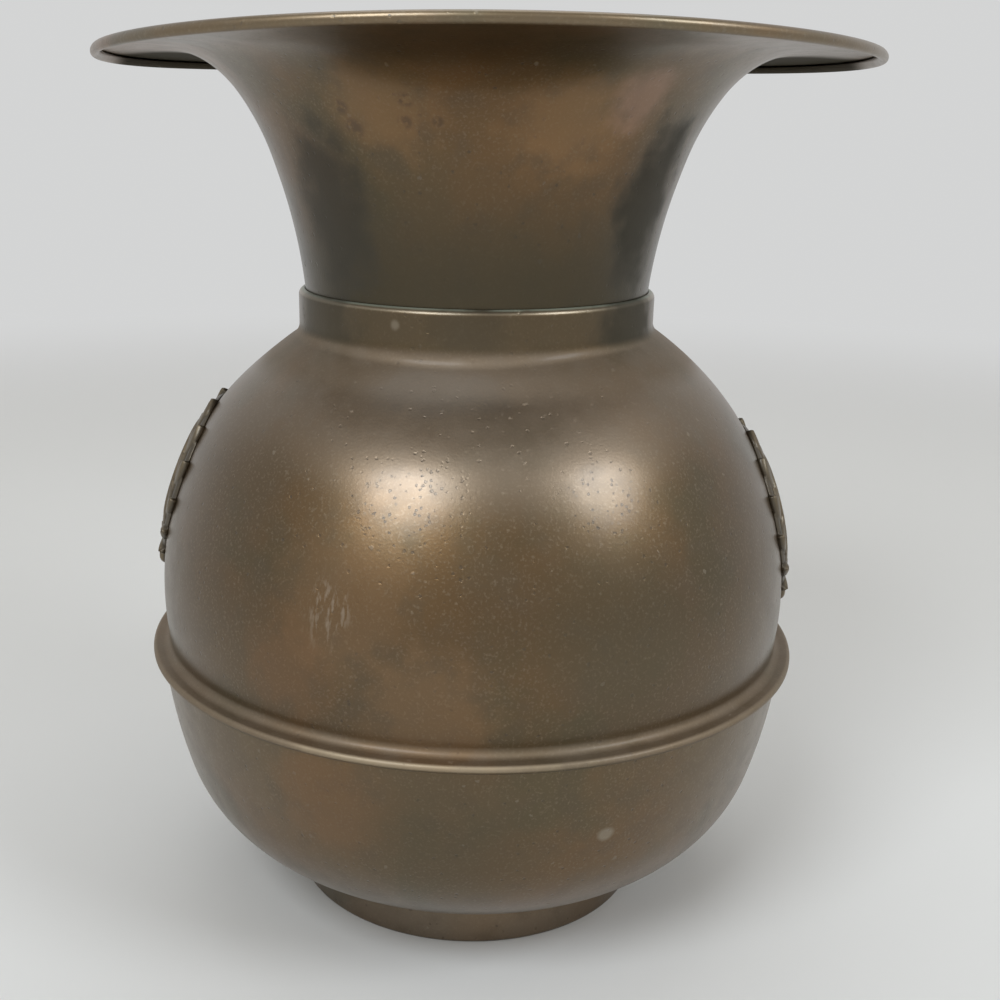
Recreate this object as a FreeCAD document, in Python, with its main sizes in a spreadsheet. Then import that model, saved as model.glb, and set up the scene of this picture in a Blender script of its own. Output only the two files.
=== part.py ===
import FreeCAD, Part
import math
import os
import Sketcher

# A brass spittoon, spun from sheet: a flared mouth funnel that lifts out of the collar of a
# round body, a bowl that closes the body from below, a weighted foot and two cast plaques.
# The origin lies under the middle of the foot, +Z is up, and the plaques face -X and +X.

# Driving sizes, in millimetres and degrees. Radii are outside ones unless the name says bore.
SIZES = {
    "sheet": 0.8,
    "funnel_sheet": 0.7,
    "solder_gap": 0.05,
    # mouth funnel
    "rim_radius": 114.3,
    "wire_radius": 0.75,
    "wire_play": 0.05,
    "curl_angle": 285.0,
    "flange_angle": 9.1,
    "knee_curve": 31.9,
    "knee_angle": 38.1,
    "throat_curve": 61.0,
    "throat_angle": 20.9,
    "neck_curve": 151.5,
    "neck_angle": 5.8,
    "spigot_length": 26.0,
    "seat_play": 0.15,
    # upper shell, with its collar and the seam flange
    "collar_rise": 6.6,
    "lip_curve": 1.9,
    "collar_radius": 54.8,
    "collar_cove": 4.5,
    "globe_curve": 99.8,
    "globe_above_seam": 16.6,
    "seam_height": 85.9,
    "seam_overhang": 4.4,
    "seam_cove": 2.5,
    "seam_round": 1.3,
    "seam_skirt": 1.7,
    # lower bowl
    "nest_play": 0.1,
    "bowl_skirt": 1.8,
    "bowl_inset": 2.5,
    "bowl_cove": 0.6,
    "bowl_top_angle": 4.1,
    "bowl_wall_curve": 168.0,
    "bowl_corner_curve": 47.6,
    "bowl_floor_height": 14.3,
    # foot, base plate and ballast
    "foot_radius": 58.0,
    "foot_bend": 1.2,
    "foot_angle": 4.0,
    "foot_hem": 8.0,
    "foot_top_flange": 7.0,
    "plate_play": 0.3,
    "ballast_side_play": 3.0,
    "ballast_chamfer": 1.5,
    "ballast_play": 0.3,
    # plaques
    "left_plaque_angle": 20.0,
    "right_plaque_angle": 15.0,
    "plaque_half_width": 27.0,
    "plaque_half_height": 28.5,
    "plaque_plate": 1.1,
    "plaque_leaf_rise": 2.5,
    "plaque_boss_rise": 2.0,
    "plaque_boss_half_width": 14.5,
    "plaque_boss_half_height": 16.5,
    "plaque_border": 1.8,
    "leaf_length": 10.5,
    "leaf_width": 4.6,
    "leaf_angle": 27.0,
    "bow_radius": 3.4,
    "bow_spacing": 5.1,
    "bow_rise": 3.1,
}

# Sizes that follow from those above
FOLLOWING = {
    "seam_radius": "globe_curve + seam_overhang",
    "globe_height": "seam_height + globe_above_seam",
    "shoulder_height": "globe_height"
                       " + sqrt((globe_curve + collar_cove)^2 - (collar_radius + collar_cove)^2)",
    "lip_height": "shoulder_height + collar_rise + lip_curve",
}

doc = FreeCAD.newDocument("Spittoon")
sheet = doc.addObject("Spreadsheet::Sheet", "Sizes")
rows = [(name, str(number)) for name, number in SIZES.items()]
rows += [(name, "=" + formula) for name, formula in FOLLOWING.items()]
for row, (name, content) in enumerate(rows, start=1):
    sheet.set("A{0}".format(row), name)
    sheet.set("B{0}".format(row), content)
    sheet.setAlias("B{0}".format(row), name)
doc.recompute()


def size(name):
    """A named size of the sheet, as a word of an expression."""
    return "Sizes." + name


def value(name):
    """A named size of the sheet, as a number."""
    return float(sheet.get(name))


def plus(first, second):
    return "({0} + {1})".format(first, second)


def minus(first, second):
    return "({0} - {1})".format(first, second)


def leg(long_side, other):
    """The third side of a right triangle, from its longest side and one other."""
    return "sqrt(({0})^2 - ({1})^2)".format(long_side, other)


def spot(centre, direction, length):
    """The point at a length from a centre. The direction is an angle in degrees, counted from
    outward towards up, or a pair of another centre and its distance, to point towards it."""
    if isinstance(direction, str):
        across = "({0} + ({1}) * cos({2}))".format(centre[0], length, direction)
        up = "({0} + ({1}) * sin({2}))".format(centre[1], length, direction)
        return across, up
    other, distance = direction
    share = "(({0}) / ({1}))".format(length, distance)
    across = "({0} + ({1} - {0}) * {2})".format(centre[0], other[0], share)
    up = "({0} + ({1} - {0}) * {2})".format(centre[1], other[1], share)
    return across, up


def bend(centre, curve, first, last, hollow=False):
    """A round stretch of sheet about a centre. It is hollow where the centre lies outside."""
    return {"centre": centre, "curve": curve, "first": first, "last": last, "hollow": hollow}


def tip(outer, inner):
    """An end of the sheet, or the point where it meets the axis."""
    return {"outer": outer, "inner": inner}


def skin(stretches, thickness, inside):
    """The corners along one face of the sheet, each with the centre and radius of the arc that
    leads to it, or with neither where a straight line does."""
    corners = []
    for stretch in stretches:
        if "outer" in stretch:
            corners.append((stretch["inner"] if inside else stretch["outer"], None, None))
            continue
        curve = stretch["curve"]
        if inside:
            curve = plus(curve, thickness) if stretch["hollow"] else minus(curve, thickness)
        centre = stretch["centre"]
        corners.append((spot(centre, stretch["first"], curve), None, None))
        corners.append((spot(centre, stretch["last"], curve), centre, curve))
    return corners


def backwards(corners):
    """The same corners walked from the last to the first."""
    arcs = [corner[1:] for corner in corners[1:]] + [(None, None)]
    return [(corner[0], arc[0], arc[1]) for corner, arc in zip(corners, arcs)][::-1]


def sheet_outline(stretches, thickness, far_end=()):
    """The closed section of a spun sheet: along its outer face, round what ends it if it isn't
    a plain cut edge, and back along its inner face."""
    outer = skin(stretches, thickness, False)
    inner = skin(stretches, thickness, True)
    return outer + list(far_end) + backwards(inner)


SAME_POINT = 1e-6
START_INDEX = 1
END_INDEX = 2
CENTRE_INDEX = 3
ACROSS_AXIS_INDEX = -1
UP_AXIS_INDEX = -2
FULL_TURN = 360


def pin_corner(sketch, edge, end, corner, where):
    """Ties one end of an edge to its place, by expressions on the named sizes."""
    for kind, axis, formula, number in (
        ("DistanceX", UP_AXIS_INDEX, corner[0], where.x),
        ("DistanceY", ACROSS_AXIS_INDEX, corner[1], where.y),
    ):
        if abs(number) < SAME_POINT:
            sketch.addConstraint(Sketcher.Constraint("PointOnObject", edge, end, axis))
            continue
        index = sketch.addConstraint(Sketcher.Constraint(kind, edge, end, number))
        name = "{0}{1}".format(kind, edge)
        sketch.renameConstraint(index, name)
        sketch.setExpression("Constraints." + name, formula)


def draw_outline(sketch, corners):
    """Draws a closed outline of lines and arcs whose corners and radii follow the sizes."""
    def number(formula):
        return float(sketch.evalExpression(formula))

    places = [FreeCAD.Vector(number(c[0][0]), number(c[0][1]), 0) for c in corners]
    kept = []
    for index, corner in enumerate(corners):
        if corner[1] is not None or (places[index] - places[index - 1]).Length > SAME_POINT:
            kept.append(index)
    ends = []
    for step, index in enumerate(kept):
        start, finish = places[kept[step - 1]], places[index]
        centre, curve = corners[index][1:]
        if centre is None:
            edge = sketch.addGeometry(Part.LineSegment(start, finish))
            ends.append((edge, START_INDEX, END_INDEX))
            continue
        middle = FreeCAD.Vector(number(centre[0]), number(centre[1]), 0)
        from_middle, to_middle = start - middle, finish - middle
        anticlockwise = from_middle.cross(to_middle).z > 0
        low, high = (from_middle, to_middle) if anticlockwise else (to_middle, from_middle)
        circle = Part.Circle(middle, FreeCAD.Vector(0, 0, 1), number(curve))
        low_angle, high_angle = math.atan2(low.y, low.x), math.atan2(high.y, high.x)
        edge = sketch.addGeometry(Part.ArcOfCircle(circle, low_angle, high_angle))
        if anticlockwise:
            ends.append((edge, START_INDEX, END_INDEX))
        else:
            ends.append((edge, END_INDEX, START_INDEX))
        radius = sketch.addConstraint(Sketcher.Constraint("Radius", edge, number(curve)))
        sketch.renameConstraint(radius, "Radius{0}".format(edge))
        sketch.setExpression("Constraints.Radius{0}".format(edge), curve)
    for step, index in enumerate(kept):
        edge, _, finish_end = ends[step]
        next_edge, next_start, _ = ends[(step + 1) % len(ends)]
        pin_corner(sketch, edge, finish_end, corners[index][0], places[index])
        sketch.addConstraint(
            Sketcher.Constraint("Coincident", edge, finish_end, next_edge, next_start)
        )


def origin_plane(body, role):
    for feature in body.Origin.OriginFeatures:
        if feature.Role == role:
            return feature


def turned(label, corners):
    """A piece spun or turned about the upright axis, from its closed section."""
    body = doc.addObject("PartDesign::Body", label)
    body.Label = label
    sketch = body.newObject("Sketcher::SketchObject", label + "_section")
    sketch.AttachmentSupport = (origin_plane(body, "XZ_Plane"), [""])
    sketch.MapMode = "FlatFace"
    doc.recompute()
    draw_outline(sketch, corners)
    doc.recompute()
    spin = body.newObject("PartDesign::Revolution", label + "_spin")
    spin.Profile = sketch
    spin.ReferenceAxis = (sketch, ["V_Axis"])
    spin.Angle = FULL_TURN
    sketch.Visibility = False
    doc.recompute()
    return body


AXIS = "0"
UPWARD = "90"
DOWNWARD = "-90"
OUTWARD = "0"
INWARD = "180"


# The mouth funnel: a spigot that hangs in the collar, a neck that opens in three ever tighter
# curves, a nearly flat flange, and an edge curled down and under round a wire.
def make_mouth_funnel():
    gauge = size("funnel_sheet")
    lip_bore = minus(size("collar_radius"), size("lip_curve"))
    seat = (minus(lip_bore, size("seat_play")), size("lip_height"))
    leans = [size("neck_angle"), size("throat_angle"), size("knee_angle"),
             minus("90", size("flange_angle"))]
    curves = [size("neck_curve"), size("throat_curve"), size("knee_curve")]
    bends = []
    start = seat
    for curve, lean, next_lean in zip(curves, leans, leans[1:]):
        centre = spot(start, minus("0", lean), curve)
        bends.append(bend(centre, curve, minus("180", lean), minus("180", next_lean), True))
        start = spot(centre, minus("180", next_lean), curve)
    hollow_radius = plus(size("wire_radius"), size("wire_play"))
    curl_radius = plus(hollow_radius, gauge)
    top_angle = plus("90", size("flange_angle"))
    curl_across = minus(size("rim_radius"), curl_radius)
    flange_run = "({0} + {1} * cos({2}) - {3})".format(
        curl_across, hollow_radius, top_angle, start[0])
    curl_up = "({0} + {1} * tan({2}) - {3} * sin({4}))".format(
        start[1], flange_run, size("flange_angle"), hollow_radius, top_angle)
    curl = (curl_across, curl_up)
    half_turn = "({0} - {1} / 2)".format(top_angle, size("curl_angle"))
    end_turn = "({0} - {1})".format(top_angle, size("curl_angle"))
    spigot_foot = spot(seat, minus("270", size("neck_angle")), size("spigot_length"))
    spigot_inside = spot(spigot_foot, minus("180", size("neck_angle")), gauge)
    curled_edge = [
        (spot(curl, top_angle, hollow_radius), None, None),
        (spot(curl, half_turn, hollow_radius), curl, hollow_radius),
        (spot(curl, end_turn, hollow_radius), curl, hollow_radius),
        (spot(curl, end_turn, curl_radius), None, None),
        (spot(curl, half_turn, curl_radius), curl, curl_radius),
        (spot(curl, top_angle, curl_radius), curl, curl_radius),
    ]
    funnel = turned("mouth_funnel", sheet_outline(
        [tip(spigot_foot, spigot_inside)] + bends, gauge, curled_edge))

    # the wire that stiffens the rim lies in the curl
    wire = doc.addObject("Part::Torus", "rim_wire")
    wire.Label = "rim_wire"
    wire.setExpression("Radius1", curl_across)
    wire.setExpression("Radius2", size("wire_radius"))
    wire.setExpression("Placement.Base.z", curl_up)
    doc.recompute()
    return [funnel, wire]


# The upper shell: a globe drawn up into a collar whose lip is turned in, and spread below into
# a flange with a skirt that hides the seam.
def make_upper_shell():
    gauge = size("sheet")
    lip_bore = minus(size("collar_radius"), size("lip_curve"))
    lip = (lip_bore, minus(size("lip_height"), size("lip_curve")))
    globe = (AXIS, size("globe_height"))
    cove_reach = plus(size("globe_curve"), size("collar_cove"))
    cove_across = plus(size("collar_radius"), size("collar_cove"))
    cove = (cove_across, size("shoulder_height"))
    seam_reach = plus(size("globe_curve"), size("seam_cove"))
    seam_up = plus(size("seam_height"), size("seam_cove"))
    seam = (leg(seam_reach, minus(seam_up, size("globe_height"))), seam_up)
    edge = (minus(size("seam_radius"), size("seam_round")),
            minus(size("seam_height"), size("seam_round")))
    skirt_up = minus(size("seam_height"), size("seam_skirt"))
    return [turned("upper_shell", sheet_outline([
        bend(lip, size("lip_curve"), UPWARD, OUTWARD),
        bend(cove, size("collar_cove"), INWARD, (globe, cove_reach), True),
        bend(globe, size("globe_curve"), (cove, cove_reach), (seam, seam_reach)),
        bend(seam, size("seam_cove"), (globe, seam_reach), DOWNWARD, True),
        bend(edge, size("seam_round"), UPWARD, OUTWARD),
        tip((size("seam_radius"), skirt_up), (minus(size("seam_radius"), gauge), skirt_up)),
    ], gauge))]


# The lower bowl: a steep wall on a round corner and a flat floor. Its flange and skirt nest
# under those of the upper shell, where the two are soldered.
def make_lower_bowl():
    gauge = size("sheet")
    flange_top = minus(size("seam_height"), gauge)
    flange_radius = "({0} - {1} - {2})".format(size("seam_radius"), gauge, size("nest_play"))
    edge = (minus(flange_radius, size("seam_round")), minus(flange_top, size("seam_round")))
    skirt_up = minus(flange_top, size("bowl_skirt"))
    cove = (minus(size("seam_radius"), size("bowl_inset")),
            "({0} - {1} - {2})".format(flange_top, gauge, size("bowl_cove")))
    wall = spot(cove, minus("180", size("bowl_top_angle")),
                plus(size("bowl_wall_curve"), size("bowl_cove")))
    corner_up = plus(size("bowl_floor_height"), size("bowl_corner_curve"))
    wall_shift = minus(size("bowl_wall_curve"), size("bowl_corner_curve"))
    corner = (plus(wall[0], leg(wall_shift, minus(corner_up, wall[1]))), corner_up)
    return [turned("lower_bowl", sheet_outline([
        tip((minus(flange_radius, gauge), skirt_up), (flange_radius, skirt_up)),
        bend(edge, minus(size("seam_round"), gauge), OUTWARD, UPWARD, True),
        bend(cove, size("bowl_cove"), UPWARD, minus("180", size("bowl_top_angle")), True),
        bend(wall, size("bowl_wall_curve"), minus("0", size("bowl_top_angle")),
             (corner, wall_shift)),
        bend(corner, size("bowl_corner_curve"), (wall, minus("0", wall_shift)), DOWNWARD),
        tip((AXIS, size("bowl_floor_height")), (AXIS, plus(size("bowl_floor_height"), gauge))),
    ], gauge))]


# The foot: a band with a flange turned in at the top, soldered flat under the bowl, and a hem
# turned in at the bottom, on which the spittoon stands and the base plate rests.
def make_foot():
    gauge = size("sheet")
    low = (minus(size("foot_radius"), size("foot_bend")), size("foot_bend"))
    top = minus(size("bowl_floor_height"), size("solder_gap"))
    high_up = minus(top, size("foot_bend"))
    rise = minus(high_up, size("foot_bend"))
    high = ("({0} - {1} * tan({2}))".format(low[0], rise, size("foot_angle")), high_up)
    flange_across = minus(high[0], size("foot_top_flange"))
    hem_across = minus(low[0], size("foot_hem"))
    foot = turned("foot_ring", sheet_outline([
        tip((flange_across, top), (flange_across, minus(top, gauge))),
        bend(high, size("foot_bend"), UPWARD, size("foot_angle")),
        bend(low, size("foot_bend"), size("foot_angle"), DOWNWARD),
        tip((hem_across, AXIS), (hem_across, gauge)),
    ], gauge))

    # the base plate, a plain disc let in on the hem
    plate = doc.addObject("Part::Cylinder", "base_plate")
    plate.Label = "base_plate"
    plate.setExpression("Radius", "({0} - {1})".format(low[0], size("plate_play")))
    plate.setExpression("Height", gauge)
    plate_under = plus(gauge, size("solder_gap"))
    plate.setExpression("Placement.Base.z", plate_under)

    # the cast ballast fills the foot between the base plate and the bowl, clear of its flange
    ballast = doc.addObject("PartDesign::Body", "ballast_weight")
    ballast.Label = "ballast_weight"
    disc = ballast.newObject("Sketcher::SketchObject", "ballast_disc")
    disc.AttachmentSupport = (origin_plane(ballast, "XY_Plane"), [""])
    disc.MapMode = "FlatFace"
    rest = "({0} + {1} + {2})".format(plate_under, gauge, size("solder_gap"))
    disc.setExpression("AttachmentOffset.Base.z", rest)
    circle = Part.Circle(FreeCAD.Vector(0, 0, 0), FreeCAD.Vector(0, 0, 1), value("foot_radius"))
    edge = disc.addGeometry(circle)
    disc.addConstraint(
        Sketcher.Constraint("Coincident", edge, CENTRE_INDEX, ACROSS_AXIS_INDEX, START_INDEX)
    )
    radius = disc.addConstraint(Sketcher.Constraint("Radius", edge, value("foot_radius")))
    disc.renameConstraint(radius, "disc_radius")
    disc.setExpression("Constraints.disc_radius", minus(flange_across, size("ballast_side_play")))
    doc.recompute()
    block = ballast.newObject("PartDesign::Pad", "ballast_block")
    block.Profile = disc
    block.setExpression("Length", "({0} - {1} - {2})".format(
        size("bowl_floor_height"), size("ballast_play"), rest))
    disc.Visibility = False
    doc.recompute()
    rims = []
    for index, rim in enumerate(block.Shape.Edges, start=1):
        if isinstance(rim.Curve, Part.Circle):
            rims.append("Edge{0}".format(index))
    bevel = ballast.newObject("PartDesign::Chamfer", "ballast_bevel")
    bevel.Base = (block, rims)
    bevel.setExpression("Size", size("ballast_chamfer"))
    doc.recompute()
    return [foot, plate, ballast]


# How far a plaque's outline is carried into and out of the globe, as a share of its radius
PLAQUE_DEPTH_SHARE = 0.3
# Where pairs of leaves grow, as shares of the way from the bow to the top of the wreath
LEAF_SHARES = [0.10, 0.24, 0.38, 0.52, 0.66, 0.80]


# The plaques: two cast ornaments bent to the globe and soldered to its sides. Each is an oval
# plate with a wreath of laurel leaves tied by a bow, about a plain raised oval.
def make_plaques():
    globe_centre = FreeCAD.Vector(0, 0, value("globe_height"))
    back = value("globe_curve") + value("solder_gap")
    left_lift = math.radians(value("left_plaque_angle"))
    right_lift = math.radians(value("right_plaque_angle"))
    depth = back * PLAQUE_DEPTH_SHARE

    def frame(side):
        """Unit directions of a plaque: out of the globe, across it, and up along it."""
        lift = left_lift if side < 0 else right_lift
        out = FreeCAD.Vector(side * math.cos(lift), 0, math.sin(lift))
        across = FreeCAD.Vector(0, side, 0)
        return out, across, out.cross(across)

    def prism(side, edges):
        """The bar, square to the globe, whose section is a closed outline on the plaque. It
        starts inside the globe and ends outside it."""
        out = frame(side)[0]
        face = Part.Face(Part.Wire(edges))
        face.translate(out * (back - depth))
        return face.extrude(out * (depth + depth))

    def oval(side, half_width, half_height):
        out, across, up = frame(side)
        major, minor = (up, half_height), (across, half_width)
        if half_width > half_height:
            major, minor = minor, major
        curve = Part.Ellipse(
            globe_centre + major[0] * major[1], globe_centre + minor[0] * minor[1], globe_centre)
        return [curve.toShape()]

    def disc(side, across_by, up_by, radius):
        out, across, up = frame(side)
        middle = globe_centre + across * across_by + up * up_by
        return [Part.Circle(middle, out, radius).toShape()]

    def leaf(side, root, angle):
        """A leaf of two arcs from its root, at an angle counted from across towards up."""
        out, across, up = frame(side)
        run = across * math.cos(angle) + up * math.sin(angle)
        width = out.cross(run)
        start = globe_centre + across * root[0] + up * root[1]
        finish = start + run * value("leaf_length")
        belly = (start + finish) / 2
        half = width * (value("leaf_width") / 2)
        near = Part.Arc(start, belly + half, finish).toShape()
        far_side = Part.Arc(finish, belly - half, start).toShape()
        return [near, far_side]

    def ball(side, radius):
        """A ball about the middle of the globe, with its poles and seam away from the plaque."""
        out, across, up = frame(side)
        sphere = Part.makeSphere(radius)
        turn = FreeCAD.Rotation(FreeCAD.Vector(1, 0, 0), across)
        sphere.Placement = FreeCAD.Placement(globe_centre, turn)
        return sphere

    half_width = value("plaque_half_width")
    half_height = value("plaque_half_height")
    boss_width = value("plaque_boss_half_width")
    boss_height = value("plaque_boss_half_height")
    border = value("plaque_border")
    path_width = (half_width + boss_width + border) / 2
    path_height = (half_height + boss_height + border) / 2
    spread = math.radians(value("leaf_angle"))
    def plaque(side):
        wreath = []
        for hand in (-1, 1):
            for share in LEAF_SHARES:
                turn = -math.pi / 2 + hand * share * math.pi
                root = (path_width * math.cos(turn), path_height * math.sin(turn))
                heading = math.atan2(hand * path_height * math.cos(turn),
                                     -hand * path_width * math.sin(turn))
                for branch in (-spread, spread):
                    wreath.append(prism(side, leaf(side, root, heading + branch)))
        leaves = wreath[0].fuse(wreath[1:])
        ring = prism(side, oval(side, boss_width + border, boss_height + border)).cut(
            prism(side, oval(side, boss_width, boss_height)))
        plate = prism(side, oval(side, half_width, half_height))
        boss = prism(side, oval(side, boss_width + border / 2, boss_height + border / 2))
        bows = [prism(side, disc(side, hand * value("bow_spacing"), -half_height,
                                 value("bow_radius"))) for hand in (-1, 0, 1)]
        bow = bows[0].fuse(bows[1:])
        layers = [
            plate.common(ball(side, back + value("plaque_plate"))),
            boss.common(ball(side, back + value("plaque_boss_rise"))),
            ring.fuse(leaves).common(ball(side, back + value("plaque_leaf_rise"))),
            bow.common(ball(side, back + value("bow_rise"))),
        ]
        whole = layers[0].fuse(layers[1:])
        return whole.cut(ball(side, back)).removeSplitter()

    made = []
    for side, label in ((-1, "plaque_left"), (1, "plaque_right")):
        piece = doc.addObject("Part::Feature", label)
        piece.Label = label
        piece.Shape = plaque(side)
        piece.Placement = FreeCAD.Placement()
        made.append(piece)
    doc.recompute()
    return made


pieces = make_mouth_funnel() + make_upper_shell() + make_lower_bowl() + make_foot() + make_plaques()
doc.recompute()

for item in doc.Objects:
    if "Invalid" in item.State or "Error" in item.State:
        raise RuntimeError("{0} failed: {1}".format(item.Label, item.State))

os.makedirs("parts", exist_ok=True)
for piece in pieces:
    shape = piece.Shape
    if shape.isNull() or not shape.isValid():
        raise RuntimeError("{0} has no sound shape".format(piece.Label))
    shape.exportStep(os.path.join("parts", piece.Label + ".step"))
    bounds = shape.optimalBoundingBox()
    print("{0}: {1} solids, {2:.1f} mm3, z {3:.2f} to {4:.2f}, across {5:.2f}".format(
        piece.Label, len(shape.Solids), shape.Volume, bounds.ZMin, bounds.ZMax, bounds.XLength))
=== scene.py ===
import math

import bmesh
import bpy
import numpy as np
from mathutils import Matrix


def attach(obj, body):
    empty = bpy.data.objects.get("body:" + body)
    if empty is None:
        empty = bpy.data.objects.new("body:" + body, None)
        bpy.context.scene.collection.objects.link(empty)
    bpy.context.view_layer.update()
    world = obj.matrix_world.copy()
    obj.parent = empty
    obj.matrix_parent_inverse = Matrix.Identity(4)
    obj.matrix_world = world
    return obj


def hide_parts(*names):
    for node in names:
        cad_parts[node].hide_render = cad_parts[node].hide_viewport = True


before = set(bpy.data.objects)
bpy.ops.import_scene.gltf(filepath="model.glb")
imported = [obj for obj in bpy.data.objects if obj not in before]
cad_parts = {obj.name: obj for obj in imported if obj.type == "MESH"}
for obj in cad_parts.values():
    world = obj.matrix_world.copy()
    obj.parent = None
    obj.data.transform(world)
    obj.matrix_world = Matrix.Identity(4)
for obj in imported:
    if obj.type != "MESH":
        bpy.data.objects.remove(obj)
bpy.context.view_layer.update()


# The studio: a pale floor that turns up all round into a pale wall, far from the spittoon, so
# that it has the same plain setting from every side.
def round_bend(centre, radius, first, last, points):
    """Points along a circle's arc: the centre plus the radius times the cosine and sine of
    angles that run evenly, in degrees, from the first to the last."""
    turn = np.radians(np.linspace(first, last, points))
    return np.stack([centre[0] + radius * np.cos(turn), centre[1] + radius * np.sin(turn)], 1)


def spun(name, section, sides, closed, bent=None):
    """A surface of revolution: a section of distances from the axis and heights, carried round
    the upright axis. Point (i, j) lies at the section's i-th distance and height, turned by
    j / sides of a circle. A bent function may then move the whole arrays x, y and z."""
    around = np.linspace(0.0, 2.0 * np.pi, sides, endpoint=False)
    across, up = section[:, 0:1], section[:, 1:2]
    x, y, z = across * np.cos(around), across * np.sin(around), up + 0.0 * around
    if bent is not None:
        x, y, z = bent(x, y, z)
    rows = len(section)
    steps = rows if closed else rows - 1
    row = np.arange(steps)[:, None]
    side = np.arange(sides)[None, :]
    corners = [row * sides + side, row * sides + (side + 1) % sides,
               (row + 1) % rows * sides + (side + 1) % sides, (row + 1) % rows * sides + side]
    mesh = bpy.data.meshes.new(name)
    mesh.from_pydata(np.stack([x, y, z], -1).reshape(-1, 3), [],
                     np.stack(corners, -1).reshape(-1, 4).tolist())
    return finished(name, mesh)


def finished(name, mesh):
    """The object of a new mesh, with its poles closed and its faces smooth and outward."""
    shell = bmesh.new()
    shell.from_mesh(mesh)
    bmesh.ops.remove_doubles(shell, verts=shell.verts, dist=1e-7)
    bmesh.ops.recalc_face_normals(shell, faces=shell.faces)
    shell.to_mesh(mesh)
    shell.free()
    mesh.shade_smooth()
    piece = bpy.data.objects.new(name, mesh)
    bpy.context.scene.collection.objects.link(piece)
    return piece


class Shade:
    """One value or colour of a material. A sum written with it adds the Math nodes for it."""

    def __init__(self, finish, socket):
        self.finish = finish
        self.socket = socket

    def counted(self, operation, *others):
        """A Math node on this value and others."""
        values = dict(enumerate((self,) + others))
        return self.finish.add("ShaderNodeMath", {"operation": operation}, values)

    def __add__(self, other):
        return self.counted("ADD", other)

    __radd__ = __add__

    def __mul__(self, other):
        return self.counted("MULTIPLY", other)

    __rmul__ = __mul__

    def __sub__(self, other):
        return self.counted("SUBTRACT", other)

    def __rsub__(self, other):
        return (self * -1.0) + other

    def ramp(self, low, high):
        """0 where the value is under low, 1 where it is over high, and smooth between."""
        return self.finish.add(
            "ShaderNodeMapRange", {"interpolation_type": "SMOOTHSTEP"},
            {"Value": self, "From Min": low, "From Max": high})


class Finish:
    """A material that is being put together from nodes."""

    def __init__(self, name):
        self.material = bpy.data.materials.new(name)
        self.material.use_nodes = True
        self.tree = self.material.node_tree
        self.tree.nodes.clear()
        self.place = self.add("ShaderNodeTexCoord", output="Object")

    def add(self, kind, settings=(), inputs=(), output=0):
        """A node of a kind, with its settings made first and then its sockets filled or linked."""
        node = self.tree.nodes.new(kind)
        for key, value in dict(settings).items():
            setattr(node, key, value)
        for key, value in dict(inputs).items():
            if isinstance(value, Shade):
                self.tree.links.new(value.socket, node.inputs[key])
            else:
                node.inputs[key].default_value = value
        return Shade(self, node.outputs[output])

    def mix(self, share, first, second):
        """The first colour where the share is 0, and the second where it is 1."""
        return self.add("ShaderNodeMix", {"data_type": "RGBA"},
                        {0: share, 6: first, 7: second}, output=2)

    def noise(self, scale, detail=3.0, stretch=(1.0, 1.0, 1.0), shift=(0.0, 0.0, 0.0)):
        """Soft noise from 0 to 1, whose grains are about 1 / scale metres wide."""
        placed = self.add("ShaderNodeMapping", {},
                          {"Vector": self.place, "Scale": stretch, "Location": shift})
        return self.add("ShaderNodeTexNoise", {},
                        {"Vector": placed, "Scale": scale, "Detail": detail})

    def spots(self, scale, size, share):
        """1 on ragged spots, in a share of cells about 1 / scale metres wide, and 0 elsewhere.
        The size is the spots' radius as a share of a cell."""
        ragged = self.add("ShaderNodeTexNoise", {},
                          {"Vector": self.place, "Scale": 2.5 * scale, "Detail": 2.0},
                          output="Color")
        placed = self.add("ShaderNodeVectorMath", {"operation": "MULTIPLY_ADD"},
                          {0: ragged, 1: (0.55 / scale,) * 3, 2: self.place})
        cells = {"Vector": placed, "Scale": scale}
        near = self.add("ShaderNodeTexVoronoi", {}, cells)
        chance = self.add("ShaderNodeSeparateColor", {}, {
            0: self.add("ShaderNodeTexVoronoi", {}, cells, output="Color")})
        return (1.0 - near.ramp(0.5 * size, size)) * (1.0 - chance.ramp(share, share + 0.02))

    def shader(self, **sockets):
        """A Principled shader, with its sockets named by words joined by _."""
        return self.add("ShaderNodeBsdfPrincipled", {},
                        {name.replace("_", " "): value for name, value in sockets.items()})

    def ended(self, shader):
        """The finished material, with a shader as its surface."""
        end = self.tree.nodes.new("ShaderNodeOutputMaterial")
        self.tree.links.new(shader.socket, end.inputs["Surface"])
        return self.material


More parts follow.
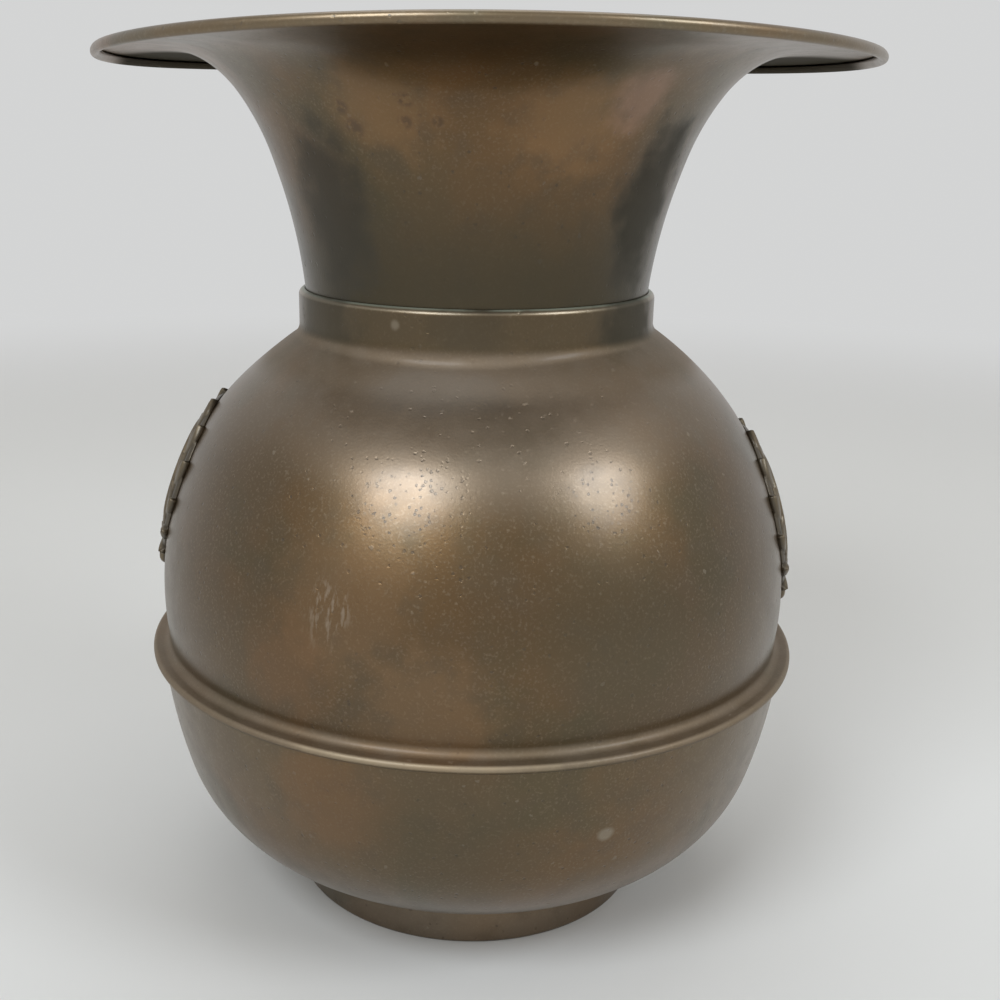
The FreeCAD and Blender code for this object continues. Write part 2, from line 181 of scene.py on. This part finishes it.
def studio():
    floor_radius, wall_radius, wall_height, sides = 2.4, 3.0, 3.2, 96
    turn = wall_radius - floor_radius
    section = np.concatenate([
        [[0.0, 0.0]],
        round_bend((floor_radius, turn), turn, -90, 0, 24),
        [[wall_radius, wall_height]],
    ])
    sweep = spun("studio_sweep", section, sides, False)
    paper = Finish("studio_paper")
    sheet = paper.shader(Base_Color=(0.73, 0.715, 0.684, 1.0), Roughness=0.9,
                         Specular_IOR_Level=0.1)
    backdrop = paper.add("ShaderNodeEmission", {}, {"Color": (0.655, 0.66, 0.66, 1.0)})
    far = paper.add("ShaderNodeVectorMath", {"operation": "LENGTH"}, {0: paper.place},
                    output="Value").ramp(0.5, 1.4)
    seen = sum(paper.add("ShaderNodeLightPath", output=ray)
               for ray in ("Is Camera Ray", "Is Glossy Ray", "Is Transmission Ray"))
    sweep.data.materials.append(paper.ended(
        paper.add("ShaderNodeMixShader", {}, {0: far * seen, 1: sheet, 2: backdrop})))

    distance, aim_up = 1.5, 0.13

    def lamp(name, azimuth, elevation, width, power):
        """A soft round lamp that faces the spittoon. Azimuth 0 is in front of it, and 90 is
        to its right."""
        light = bpy.data.lights.new(name, "AREA")
        light.shape = "DISK"
        light.size = width
        light.energy = power
        light.color = (0.93, 1.0, 1.08)
        turned, raised = math.radians(azimuth), math.radians(elevation)
        back = np.array([math.sin(turned) * math.cos(raised), -math.cos(turned) * math.cos(raised),
                         math.sin(raised)])
        side = np.cross((0.0, 0.0, 1.0), back)
        side /= np.linalg.norm(side)
        up = np.cross(back, side)
        middle = np.array([0.0, 0.0, aim_up]) + distance * back
        holder = bpy.data.objects.new(name, light)
        holder.matrix_world = Matrix([
            [side[axis], up[axis], back[axis], middle[axis]] for axis in range(3)
        ] + [[0.0, 0.0, 0.0, 1.0]])
        bpy.context.scene.collection.objects.link(holder)

    lamp("lamp_left", -30.0, 42.0, 0.7, 11.5)
    lamp("lamp_right", 59.0, 37.0, 0.6, 7.2)
    lamp("lamp_above", 180.0, 72.0, 1.3, 6.0)
    world = bpy.data.worlds.new("studio_light")
    bpy.context.scene.world = world
    world.use_nodes = True
    sky = world.node_tree.nodes["Background"]
    sky.inputs["Color"].default_value = (0.65, 0.63, 0.60, 1.0)
    sky.inputs["Strength"].default_value = 0.75


studio()


# The camera stands 0.4 m away, a little below the rim, and looks down. It leans and turns a
# little, and its picture is a part of a wider one.
def camera():
    distance, height, sensor, zoom = 0.4005, 0.2434, 36.0, 1.2741
    pitch, roll, yaw = math.radians(17.54), math.radians(0.53), math.radians(-1.69)
    forward = np.array([math.sin(yaw) * math.cos(pitch), math.cos(yaw) * math.cos(pitch),
                        -math.sin(pitch)])
    level = np.array([math.cos(yaw), -math.sin(yaw), 0.0])
    above = np.cross(level, forward)
    right = math.cos(roll) * level + math.sin(roll) * above
    up = -math.sin(roll) * level + math.cos(roll) * above
    lens = bpy.data.cameras.new("camera")
    lens.sensor_width = sensor
    lens.lens = sensor * zoom
    lens.shift_x, lens.shift_y = 0.0642, 0.0317
    lens.clip_start = 0.01
    eye = bpy.data.objects.new("camera", lens)
    eye.matrix_world = Matrix([
        [right[axis], up[axis], -forward[axis], (0.0, -distance, height)[axis]]
        for axis in range(3)
    ] + [[0.0, 0.0, 0.0, 1.0]])
    bpy.context.scene.collection.objects.link(eye)
    bpy.context.scene.camera = eye


camera()
bpy.context.scene.view_settings.view_transform = "Standard"


# The mouth funnel: spun from one sheet of brass, with a spigot that hangs in the collar, and a
# flange whose edge is curled down and under round a wire. It is aged, and a little out of true.
class AgedBrass(Finish):
    """Brass that has gone brown with age and handling: a patina that drifts from one tone to
    a warm one and an olive one, a fine tarnish, pale crusts and dark pits."""

    def __init__(self, name, tone, warm, olive):
        super().__init__(name)
        self.mottle = self.noise(130.0, 6.0)
        clouds = self.noise(15.0, 4.0)
        drift = self.noise(26.0, 4.0, shift=(0.37, 0.11, 0.23))
        grain = self.noise(1300.0, 3.0)
        self.colour = self.mix(clouds.ramp(0.46, 0.66), tone, warm)
        self.tint(drift.ramp(0.48, 0.66) * 0.8, olive)
        self.tint(self.mottle.ramp(0.42, 0.72) * 0.35, (0.10, 0.072, 0.042, 1.0))
        self.tint(grain.ramp(0.50, 0.75) * 0.3, (0.26, 0.20, 0.13, 1.0))
        self.rough = self.mottle * 0.16 + 0.30
        self.coat = 0.45
        self.depth = grain * 0.35 + self.mottle * 0.5
        crust = self.spots(280.0, 0.21, 0.06)
        dust = self.spots(620.0, 0.34, 0.12)
        pits = self.spots(480.0, 0.28, 0.14)
        self.tint(crust * 0.35, (0.33, 0.28, 0.21, 1.0))
        self.tint(dust * 0.16, (0.30, 0.25, 0.18, 1.0))
        self.tint(pits * 0.5, (0.07, 0.052, 0.034, 1.0))
        self.rough = self.rough + crust * 0.2 + dust * 0.1
        self.depth = self.depth + crust * 0.5 - pits * 0.9

    def tint(self, share, colour):
        """Lays a colour over a share of the brass."""
        self.colour = self.mix(share, self.colour, colour)

    def near(self, centre, reach, stretch=(1.0, 1.0, 1.0), fray=1.0):
        """1 close to a point, and 0 from the reach on, with an edge that the mottle frays by a
        share of the reach. A stretch over 1 makes the mark narrower along that axis."""
        scaled = self.add("ShaderNodeVectorMath", {"operation": "MULTIPLY"},
                          {0: self.place, 1: stretch})
        gap = self.add("ShaderNodeVectorMath", {"operation": "DISTANCE"},
                       {0: scaled, 1: tuple(float(c * s) for c, s in zip(centre, stretch))},
                       output="Value")
        return 1.0 - (gap * (1.0 / reach) + (self.mottle - 0.5) * fray).ramp(0.35, 1.0)

    def across(self):
        """The distance from the upright axis."""
        flat = self.add("ShaderNodeVectorMath", {"operation": "MULTIPLY"},
                        {0: self.place, 1: (1.0, 1.0, 0.0)})
        return self.add("ShaderNodeVectorMath", {"operation": "LENGTH"}, {0: flat},
                        output="Value")

    def upward(self):
        """The height over the floor."""
        return self.add("ShaderNodeSeparateXYZ", {}, {0: self.place}, output="Z")

    def done(self, painted_shade=0.0):
        """The finished brass, under a dark matt layer of painted shade where that is laid on."""
        relief = self.add("ShaderNodeBump", {},
                          {"Strength": 0.4, "Distance": 0.0002, "Height": self.depth})
        metal = self.shader(
            Base_Color=self.colour, Metallic=0.9, Roughness=self.rough, Normal=relief,
            Coat_Weight=self.coat, Coat_Roughness=0.24, Coat_IOR=1.6)
        # painted shade: a dark, dull layer with no shine, mixed over the metal
        painted_shade_colour = self.mix(self.mottle, (0.043, 0.040, 0.030, 1.0), (0.070, 0.064, 0.049, 1.0))
        painted_shade_layer = self.shader(Base_Color=painted_shade_colour, Roughness=1.0, Specular_IOR_Level=0.0)
        return self.ended(self.add("ShaderNodeMixShader", {}, {0: painted_shade, 1: metal, 2: painted_shade_layer}))


def thick(line, sheet):
    """The closed section of a sheet: a line along one face, and back along the same line moved
    by the sheet's thickness to its left."""
    run = np.gradient(line, axis=0)
    run /= np.linalg.norm(run, axis=1)[:, None]
    left = np.stack([-run[:, 1], run[:, 0]], 1)
    return np.concatenate([line, (line + sheet * left)[::-1]])


def mouth_funnel():
    sheet, hollow, wire_radius, rim_radius, curl = 0.0007, 0.0008, 0.00075, 0.1143, 285.0
    neck, throat, knee, flange = 5.8, 20.9, 38.1, 9.1
    seat, spigot = np.array([0.05275, 0.1968]), 0.026
    down = np.radians(270.0 - neck)
    line = [seat + spigot * np.array([np.cos(down), np.sin(down)])]
    start = seat
    for curve, lean, next_lean, points in ((0.1515, neck, throat, 34), (0.061, throat, knee, 24),
                                           (0.0319, knee, 90.0 - flange, 34)):
        turn = np.radians(lean)
        centre = start + curve * np.array([np.cos(turn), -np.sin(turn)])
        stretch = round_bend(centre, curve, 180.0 - lean, 180.0 - next_lean, points)
        line.extend(stretch[:-1])
        start = stretch[-1]
    curl_across = rim_radius - hollow - sheet
    top = 90.0 + flange
    slope = np.radians(flange)
    curl_up = (start[1] + (curl_across + hollow * np.cos(np.radians(top)) - start[0])
               * np.tan(slope) - hollow * np.sin(np.radians(top)))
    roll = round_bend((curl_across, curl_up), hollow, top, top - curl, 28)
    run = np.linspace(start, roll[0], 18)[:-1]
    section = thick(np.concatenate([np.array(line), run, roll]), sheet)
    bow, arch, dent, stiff_radius = 0.0035, 0.0026, 0.0036, 0.06

    def out_of_true(x, y, z):
        """The flange is bent by use. To the sides it sags by the bow times the square of the
        way out from the throat, and half way out it arches up by half a sine wave. Both go with
        the square of the cosine of the angle from the side. The left edge is pushed in too."""
        across = np.hypot(x, y)
        out = np.clip((across - stiff_radius) / (rim_radius - stiff_radius), 0.0, 1.0)
        sideways = x / across
        lift = arch * np.sin(np.pi * out) - bow * out ** 2
        push = dent * out ** 2 * np.clip(-sideways, 0.0, 1.0) ** 4
        return x + push, y, z + lift * sideways ** 2

    piece = spun("spun_funnel", section, 360, True, out_of_true)
    # the underside is 1 where the sheet faces down, and 0 where it faces up beyond the level
    level = 0.35
    facing = np.empty((len(piece.data.vertices), 3), dtype=np.float32)
    piece.data.vertex_normals.foreach_get("vector", facing.ravel())
    under = piece.data.attributes.new("underside", "FLOAT", "POINT")
    under.data.foreach_set("value", np.clip(1.0 - facing[:, 2] / level, 0.0, 1.0))
    brass = AgedBrass("funnel_brass", (0.133, 0.080, 0.030, 1.0), (0.17, 0.088, 0.028, 1.0),
                      (0.094, 0.069, 0.027, 1.0))
    # a dark neck, warm blushes, two tall dark bands of painted reflection and a row of brown
    # stains in the flare
    low = 1.0 - brass.upward().ramp(0.200, 0.253)
    brass.tint(low * 0.88, (0.044, 0.033, 0.012, 1.0))
    for centre, reach in (((-0.025, -0.065, 0.250), 0.02), ((0.023, -0.062, 0.245), 0.020)):
        brass.tint(brass.near(centre, reach) * 0.48, (0.27, 0.145, 0.055, 1.0))
    brass.tint(brass.near((0.041, -0.057, 0.251), 0.012) * 0.5, (0.32, 0.19, 0.13, 1.0))
    # painted reflection: two tall dark bands on the flare's sides, tinted dark and also put under
    # the dark matt layer
    clouds = 0.0
    for centre, share in (((-0.039, -0.042, 0.222), 0.4), ((0.047, -0.035, 0.225), 0.7)):
        painted_dark_band = brass.near(centre, 0.018, (1.0, 1.0, 0.45))
        brass.tint(painted_dark_band * 0.7, (0.045, 0.038, 0.026, 1.0))
        clouds = painted_dark_band * share + clouds
    ragged = brass.noise(420.0, 4.0).ramp(0.36, 0.56)
    for centre, reach in (
            ((-0.0185, -0.0675, 0.2502), 0.003), ((-0.0355, -0.0589, 0.2485), 0.003),
            ((-0.0319, -0.0574, 0.2434), 0.0035), ((-0.0186, -0.0639, 0.2450), 0.0028),
            ((-0.0103, -0.0658, 0.2451), 0.002)):
        brass.tint(brass.near(centre, reach) * ragged * 0.6, (0.075, 0.042, 0.022, 1.0))
    # the flange's underside at the back gets a dark, dull layer of painted shade, and its edge is
    # worn pale
    behind = brass.add("ShaderNodeSeparateXYZ", {}, {0: brass.place}, output="Y")
    underside = brass.add("ShaderNodeAttribute", {"attribute_name": "underside"}, output="Fac")
    painted_shade = underside * behind.ramp(-0.006, 0.012) * brass.across().ramp(0.070, 0.085)
    worn = brass.across().ramp(rim_radius - 0.0015, rim_radius - 0.0005)
    brass.tint(worn * 0.25, (0.32, 0.27, 0.19, 1.0))
    # the painted shade under the flange and the painted dark bands go under the dark matt layer
    piece.data.materials.append(brass.done(painted_shade * 0.9 + clouds))
    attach(piece, "funnel")
    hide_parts("mouth_funnel")

    # the drawn iron wire lies in the curl, and is bent with it
    wire = spun("bent_wire", round_bend((curl_across, curl_up), wire_radius, 0, 345, 24), 240,
                True, out_of_true)
    drawn = Finish("drawn_wire")
    streaks = drawn.noise(600.0, 3.0)
    wire.data.materials.append(drawn.ended(drawn.shader(
        Base_Color=drawn.mix(streaks, (0.12, 0.115, 0.11, 1.0), (0.22, 0.2, 0.18, 1.0)),
        Metallic=1.0, Roughness=streaks * 0.2 + 0.35)))
    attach(wire, "funnel")
    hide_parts("rim_wire")


mouth_funnel()


# The upper shell: the globe, drawn up into a collar whose lip is turned in and spread below
# into a flange with a rounded edge and a skirt, all spun from one sheet.
def upper_shell():
    sheet = 0.0008
    lip_curve, collar, collar_up, shoulder_curve = 0.0019, 0.0548, 0.1968, 0.0045
    globe, globe_up = 0.0998, 0.1025
    seam_up, seam_radius, seam_cove, edge, skirt = 0.0859, 0.1042, 0.0025, 0.0013, 0.0017
    reach, across = globe + shoulder_curve, collar + shoulder_curve
    shoulder_up = globe_up + math.sqrt(reach ** 2 - across ** 2)
    shoulder = math.degrees(math.atan2(shoulder_up - globe_up, across))
    seam_centre_up = seam_up + seam_cove
    seam_across = math.sqrt((globe + seam_cove) ** 2 - (seam_centre_up - globe_up) ** 2)
    seam = math.degrees(math.atan2(seam_centre_up - globe_up, seam_across))
    lip_up = collar_up - lip_curve
    line = np.concatenate([
        round_bend((collar - lip_curve, lip_up), lip_curve, 90, 0, 14),
        np.linspace([collar, lip_up], [collar, shoulder_up], 8)[1:-1],
        round_bend((across, shoulder_up), shoulder_curve, 180, 180 + shoulder, 14),
        round_bend((0.0, globe_up), globe, shoulder, seam, 90)[1:],
        round_bend((seam_across, seam_centre_up), seam_cove, 180 + seam, 270, 12)[1:],
        round_bend((seam_radius - edge, seam_up - edge), edge, 90, 0, 12),
        [[seam_radius, seam_up - skirt]],
    ])

    sag, dent, dent_left, spared = 0.0022, 0.0018, 0.15, 0.0016
    low_up, low_fade, high_fade = 0.156, 0.026, 0.0058

    def pressed(x, y, z):
        """The shoulder has been pressed down under the collar. It sinks by the sag, plus the
        dent times the fifth power of the cosine of the angle from just left of the front, less
        what is spared at the right, with the square of the sine. All of it fades out on a
        smooth step, down to the globe and up to the lip."""
        turn = np.arctan2(x, -y)
        front = np.clip(np.cos(turn + dent_left), 0.0, 1.0) ** 5
        right = np.clip(np.sin(turn), 0.0, 1.0) ** 2
        up = np.clip((z - low_up) / low_fade, 0.0, 1.0)
        down = np.clip((lip_up - z) / high_fade, 0.0, 1.0)
        fade = up ** 2 * (3.0 - 2.0 * up) * down ** 2 * (3.0 - 2.0 * down)
        return x, y, z - (sag + dent * front - spared * right) * fade

    piece = spun("spun_globe", thick(line, -sheet), 320, True, pressed)
    brass = AgedBrass("globe_brass", (0.110, 0.070, 0.031, 1.0), (0.128, 0.071, 0.024, 1.0),
                      (0.087, 0.064, 0.028, 1.0))
    # dust has settled on the shoulder, in the cove under the collar and on the seam's ledge; on
    # the shoulder it is also painted light that brightens the up-facing front
    height, drawn_up = brass.upward(), 0.1838
    drawn = height.ramp(drawn_up, drawn_up + 0.003)
    dust = height.ramp(0.150, 0.175) * 0.55 + height.ramp(0.1715, 0.1795) * 0.15
    ledge = 1.0 - height.ramp(seam_up + 0.0005, seam_up + 0.0045)
    dust = dust * (1.0 - drawn) + ledge * 0.6
    brass.tint(dust * (0.3 + 0.5 * brass.mottle), (0.36, 0.29, 0.22, 1.0))
    cove = height.ramp(0.1720, 0.1780) * (1.0 - height.ramp(drawn_up, 0.1880))
    brass.rough = brass.rough + dust * 0.15 + cove * 0.2 + ledge * 0.15
    brass.coat = brass.coat - cove * 0.3 - ledge * 0.3
    brass.tint(drawn * (1.0 - height.ramp(0.1945, 0.1958)) * 0.7, (0.095, 0.066, 0.030, 1.0))
    # warm blushes, an olive cloud, a pale speck on the collar and a patch of upright scratches
    for centre, reach in (((-0.034, -0.091, 0.126), 0.026), ((-0.010, -0.099, 0.097), 0.024)):
        brass.tint(brass.near(centre, reach) * 0.4, (0.22, 0.128, 0.058, 1.0))
    brass.tint(brass.near((-0.0495, -0.0867, 0.104), 0.018) * 0.4, (0.19, 0.095, 0.035, 1.0))
    brass.tint(brass.near((0.039, -0.091, 0.117), 0.034) * 0.35, (0.075, 0.066, 0.036, 1.0))
    brass.tint(brass.near((-0.0221, -0.0502, 0.1919), 0.0023) * 0.45, (0.32, 0.27, 0.20, 1.0))
    scratched = (brass.near((-0.037, -0.090, 0.1232), 0.0095, (1.2, 1.0, 0.75))
                 * brass.noise(900.0, 4.0, stretch=(1.0, 1.0, 0.16)).ramp(0.50, 0.66))
    brass.tint(scratched * 0.42, (0.40, 0.33, 0.25, 1.0))
    # crowded pits where the globe bulges most to the front; a pale patch of painted light on the
    # shoulder's front, and a pale triangle under the collar, partly dust and partly a painted
    # sheen
    pitted = (brass.near((-0.016, -0.0851, 0.1521), 0.019) * brass.spots(760.0, 0.36, 0.40)
              + brass.near((0.0333, -0.0795, 0.1528), 0.017) * brass.spots(760.0, 0.34, 0.2))
    brass.tint(pitted * 0.65, (0.075, 0.058, 0.038, 1.0))
    brass.depth = brass.depth - pitted * 0.8
    # painted light: a broad pale patch that brightens the front of the shoulder
    brass.tint(brass.near((0.004, -0.076, 0.168), 0.042, (0.6, 1.0, 1.6), 0.2) * 0.4,
               (0.36, 0.285, 0.21, 1.0))
    # a pale triangle under the collar: partly dust, partly a painted sheen
    brass.tint(brass.near((-0.0125, -0.064, 0.1765), 0.019, (0.7, 1.0, 2.2)) * 0.45,
               (0.30, 0.26, 0.215, 1.0))
    # the seam's edge is worn pale, with a painted highlight along it at the front; the collar's
    # ends and middle are darkened by painted dark reflection; its lip is pale from wear and a
    # painted highlight, with a greenish film along the top
    worn = brass.across().ramp(seam_radius - 0.0012, seam_radius - 0.0003)
    # painted highlight: the pale wear is made strongest on the seam's edge at the front
    worn = worn * (brass.near((-0.012, -0.1035, 0.085), 0.05) * 0.5 + 0.12)
    brass.tint(worn, (0.42, 0.34, 0.23, 1.0))
    # painted dark reflection: a patch in the middle of the collar and its two ends, under the dark
    # matt layer
    painted_shade = brass.near((-0.002, -0.0547, 0.189), 0.014, (1.0, 1.0, 0.6)) * 0.25
    for centre, share in (((-0.044, -0.033, 0.189), 0.5), ((0.045, -0.032, 0.189), 0.75)):
        painted_shade = painted_shade + brass.near(centre, 0.020, (1.0, 1.0, 0.6)) * share
    # the lip's pale band: partly wear, partly a painted highlight
    brass.tint(height.ramp(0.1952, 0.1960) * 0.6, (0.36, 0.30, 0.21, 1.0))
    film = height.ramp(0.19625, 0.1966) * brass.mottle.ramp(0.2, 0.5)
    brass.tint(film * 0.85, (0.40, 0.43, 0.34, 1.0))
    brass.rough = brass.rough + film * 0.3
    piece.data.materials.append(brass.done(painted_shade * drawn))
    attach(piece, "body")
    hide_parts("upper_shell")


upper_shell()


# The lower bowl: a steep wall, a round corner and a flat floor, spun from one sheet. Its flange
# and skirt nest under those of the globe, and show below them as a second, thinner lip.
def lower_bowl():
    sheet = 0.0008
    flange_up, flange_radius, edge, skirt = 0.0851, 0.1033, 0.0013, 0.0018
    cove, cove_across = 0.0006, 0.1017
    top, wall_curve, corner_curve, floor_up = 4.1, 0.168, 0.0476, 0.0143
    cove_centre = np.array([cove_across, flange_up - sheet - cove])
    turn = np.radians(180.0 - top)
    wall = cove_centre + (wall_curve + cove) * np.array([np.cos(turn), np.sin(turn)])
    corner_up = floor_up + corner_curve
    corner_across = wall[0] + math.sqrt(
        (wall_curve - corner_curve) ** 2 - (corner_up - wall[1]) ** 2)
    joint = math.degrees(math.atan2(corner_up - wall[1], corner_across - wall[0]))
    line = np.concatenate([
        [[flange_radius - sheet, flange_up - skirt]],
        round_bend((flange_radius - edge, flange_up - edge), edge - sheet, 0, 90, 8),
        round_bend(cove_centre, cove, 90, 180 - top, 10),
        round_bend(wall, wall_curve, -top, joint, 50)[1:],
        round_bend((corner_across, corner_up), corner_curve, joint, -90, 46)[1:],
        np.linspace([corner_across, floor_up], [0.0, floor_up], 14)[1:],
    ])
    section = thick(line, -sheet)
    section[np.abs(section[:, 0]) < 1e-6, 0] = 0.0
    piece = spun("spun_bowl", section, 360, True)
    brass = AgedBrass("bowl_brass", (0.136, 0.092, 0.045, 1.0), (0.150, 0.088, 0.035, 1.0),
                      (0.105, 0.081, 0.039, 1.0))
    # warm and dark patches, and one pale speck
    brass.tint(brass.near((-0.0373, -0.092, 0.0685), 0.024) * 0.45, (0.20, 0.105, 0.042, 1.0))
    brass.tint(brass.near((-0.004, -0.098, 0.062), 0.03) * 0.3, (0.080, 0.064, 0.034, 1.0))
    brass.tint(brass.near((0.0383, -0.0895, 0.0583), 0.003) * 0.5, (0.34, 0.30, 0.23, 1.0))
    piece.data.materials.append(brass.done())
    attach(piece, "body")
    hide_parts("lower_bowl")


lower_bowl()


# The foot ring: a plain, slightly tapered band with a flange at the top, soldered under the
# bowl, and a hem at the bottom. The base plate lies in it, on the hem.
def foot_ring():
    sheet, bend_curve, lean = 0.0008, 0.0012, 4.0
    radius, top_up, flange, hem = 0.058, 0.01425, 0.007, 0.008
    low = (radius - bend_curve, bend_curve)
    high_up = top_up - bend_curve
    high = (low[0] - (high_up - low[1]) * math.tan(math.radians(lean)), high_up)
    line = np.concatenate([
        [[high[0] - flange, top_up]],
        round_bend(high, bend_curve, 90, lean, 12),
        round_bend(low, bend_curve, lean, -90, 12),
        [[low[0] - hem, 0.0]],
    ])
    piece = spun("foot_band", thick(line, -sheet), 360, True)
    brass = AgedBrass("foot_brass", (0.185, 0.14, 0.095, 1.0), (0.20, 0.138, 0.082, 1.0),
                      (0.15, 0.125, 0.085, 1.0)).done()
    piece.data.materials.append(brass)
    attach(piece, "body")
    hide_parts("foot_ring")
    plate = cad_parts["base_plate"].data.materials
    plate.clear()
    plate.append(brass)


foot_ring()


# The plaques: cast brass ornaments, bent to the globe and soldered to its sides. Each is an
# oval plate with a wreath of laurel about a plain raised oval, tied below by a bow.
def relief(u, v):
    """The height of a plaque over the globe, in metres, at distances u across it and v up it.
    It is the highest of a plate, a boss, a bead round it, a stem, the leaves and a bow, and
    nothing where there is none of them."""
    def laid(height, within, base, rise, across):
        """The higher of a height and of a rounded bar: a base, plus a rise times the height of
        a unit circle at a distance across it."""
        bar = base + rise * np.sqrt(np.clip(1.0 - across ** 2, 0.0, 1.0))
        return np.maximum(height, np.where(within, bar, 0.0))

    plate_width, plate_height, plate_thick, plate_edge = 0.0262, 0.0277, 0.0011, 0.04
    plate = np.sqrt((u / plate_width) ** 2 + (v / plate_height) ** 2)
    rim = np.clip((1.0 - plate) / plate_edge, 0.0, 1.0) ** 0.5
    height = np.where(plate < 1.0, plate_thick * rim, 0.0)
    oval_width, oval_height, boss_base, boss_rise = 0.0145, 0.0165, 0.0013, 0.0007
    oval = np.sqrt((u / oval_width) ** 2 + (v / oval_height) ** 2)
    boss = boss_base + boss_rise * (1.0 - oval ** 2)
    height = np.where(oval < 1.0, np.maximum(height, boss), height)
    bead = (oval - 1.06) / 0.06
    height = laid(height, np.abs(bead) < 1.0, plate_thick, 0.0014, bead)
    path_width, path_height, path_mean, stem_radius = 0.02165, 0.02315, 0.0224, 0.0007
    path = np.sqrt((u / path_width) ** 2 + (v / path_height) ** 2)
    stem = (path - 1.0) * path_mean / stem_radius
    height = laid(height, np.abs(stem) < 1.0, plate_thick, stem_radius, stem)
    length, width, leaf_base, spread = 0.0105, 0.0023, 0.0010, math.radians(27.0)
    for hand in (-1, 1):
        for place in (0.10, 0.24, 0.38, 0.52, 0.66, 0.80):
            turn = -0.5 * math.pi + hand * place * math.pi
            root_u, root_v = path_width * math.cos(turn), path_height * math.sin(turn)
            heading = math.atan2(hand * path_height * math.cos(turn),
                                 -hand * path_width * math.sin(turn))
            for branch in (-spread, spread):
                run_u, run_v = math.cos(heading + branch), math.sin(heading + branch)
                along = ((u - root_u) * run_u + (v - root_v) * run_v) / length
                aside = (-(u - root_u) * run_v + (v - root_v) * run_u) / width
                inside = np.clip(along, 0.0, 1.0)
                half = np.sin(np.pi * inside ** 0.85) ** 0.75 + 1e-6
                across = aside / half
                rib = 0.0002 * np.exp(-(aside / 0.13) ** 2)
                on = (along > 0.0) & (along < 1.0) & (np.abs(across) < 1.0)
                height = laid(height, on, leaf_base - rib, 0.0007 + 0.0008 * inside, across)
    knot_down, bow_base = 0.0285, 0.0012
    for hand in (-1, 1):
        loop = np.hypot((u - hand * 0.0051) / 0.0034, (v + knot_down - 0.0004) / 0.0029)
        height = laid(height, loop < 1.0, bow_base, 0.0016, (loop - 0.62) / 0.38)
    knot = np.hypot(u / 0.0030, (v + knot_down) / 0.0033)
    return laid(height, knot < 1.0, bow_base, 0.0019, knot)


def plaque(name, node, hand, height_angle):
    """A relief over the globe, on rings that grow from its middle to its outline: the point
    at share s of the way out, and at an angle, lies at s times the outline's distance. The
    outline is the farthest reach that the relief covers, evened with its neighbours. The last
    three rings go back under it to the middle, at no height."""
    globe, globe_up, gap, lift = 0.0998, 0.1025, 0.00005, math.radians(height_angle)
    edge_height, highest, sides, rings = 0.0004, 0.0031, 560, 126
    around = np.linspace(0.0, 2.0 * np.pi, sides, endpoint=False)[None, :]
    reach = np.linspace(0.02, 0.036, 400)[:, None]
    covered = relief(reach * np.cos(around), reach * np.sin(around)) > 0.0
    outline = np.where(covered, reach, 0.0).max(0)
    outline = (np.roll(outline, 1) + outline + np.roll(outline, -1)) / 3.0
    shares = np.concatenate([np.linspace(0.0, 1.0, rings), [1.0, 0.5, 0.0]])[:, None]
    u, v = shares * outline * np.cos(around), shares * outline * np.sin(around)
    height = np.maximum(relief(u, v), edge_height)
    height[-3:] = 0.0
    ball = globe + gap + height
    out = np.array([hand * math.cos(lift), 0.0, math.sin(lift)])
    side = np.array([0.0, hand, 0.0])
    up = np.cross(out, side)
    far = np.sqrt(ball ** 2 - u ** 2 - v ** 2)
    points = (u[..., None] * side + v[..., None] * up + far[..., None] * out
              + np.array([0.0, 0.0, globe_up]))
    rows = len(shares)
    row, ring = np.arange(rows - 1)[:, None], np.arange(sides)[None, :]
    corners = [row * sides + ring, row * sides + (ring + 1) % sides,
               (row + 1) * sides + (ring + 1) % sides, (row + 1) * sides + ring]
    mesh = bpy.data.meshes.new(name)
    mesh.from_pydata(points.reshape(-1, 3), [], np.stack(corners, -1).reshape(-1, 4).tolist())
    share = mesh.attributes.new("raised", "FLOAT", "POINT")
    share.data.foreach_set("value", (height / highest).astype(np.float32).ravel())
    piece = finished(name, mesh)
    brass = AgedBrass(name + "_brass", (0.16, 0.125, 0.08, 1.0), (0.18, 0.125, 0.07, 1.0),
                      (0.13, 0.11, 0.07, 1.0))
    # the hollows are dark, the highest places are rubbed pale, and the casting is duller
    raised = brass.add("ShaderNodeAttribute", {"attribute_name": "raised"}, output="Fac")
    brass.tint((1.0 - raised.ramp(0.3, 0.62)) * 0.7, (0.07, 0.058, 0.042, 1.0))
    brass.tint(raised.ramp(0.72, 0.85) * 0.2, (0.34, 0.27, 0.18, 1.0))
    brass.rough = brass.rough + 0.12
    brass.coat = 0.25
    piece.data.materials.append(brass.done())
    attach(piece, "body")
    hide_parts(node)


plaque("wreath_left", "plaque_left", -1, 20.0)
plaque("wreath_right", "plaque_right", 1, 15.0)


# The ballast: a disc of cast iron that lies on the base plate, hidden in the foot, and keeps the
# top-heavy spittoon upright. It is shown as the plain solid that it is.
def ballast():
    iron = Finish("cast_iron")
    grain = iron.noise(400.0, 6.0)
    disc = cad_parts["ballast_weight"].data.materials
    disc.clear()
    disc.append(iron.ended(iron.shader(
        Base_Color=iron.mix(grain, (0.03, 0.03, 0.03, 1.0), (0.07, 0.065, 0.06, 1.0)),
        Metallic=0.7, Roughness=grain * 0.2 + 0.6)))


ballast()
